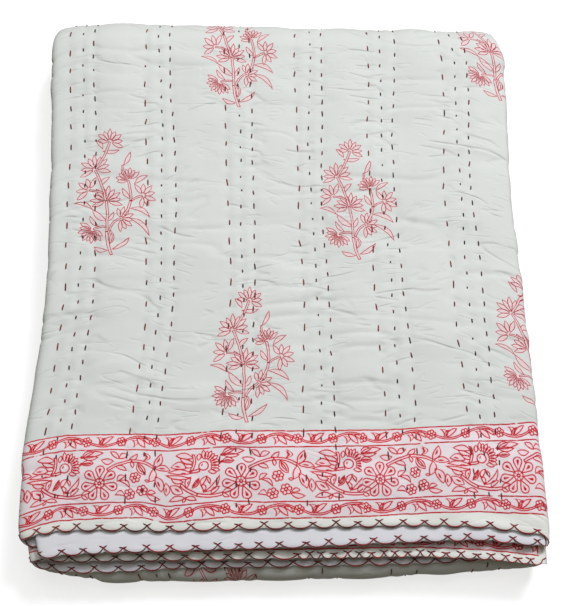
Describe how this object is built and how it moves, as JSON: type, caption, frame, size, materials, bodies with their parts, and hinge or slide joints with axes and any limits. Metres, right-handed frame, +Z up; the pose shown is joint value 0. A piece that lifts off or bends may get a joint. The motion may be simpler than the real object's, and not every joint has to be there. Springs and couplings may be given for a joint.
{
  "type": "folded kantha quilt",
  "caption": "Cotton bed quilt with running-stitch quilting, a block-printed border and sprigs, folded in quarters both ways into a flat pile.",
  "frame": {"origin": "on the surface the folded quilt lies on, under the centre of its bounding box", "axes": "+Z up through the sixteen layers; +Y along the cloth's length, from the open hems at the front to the outer fold at the back; +X across, toward the side with the cloth's side edges"},
  "size_m": [0.5988, 0.7158, 0.0952],
  "materials": {
    "cotton": "undyed quilted cotton with red block print and dark red running stitches"
  },
  "bodies": {
    "root": {"quilt": "cotton"}
  },
  "joints": []
}
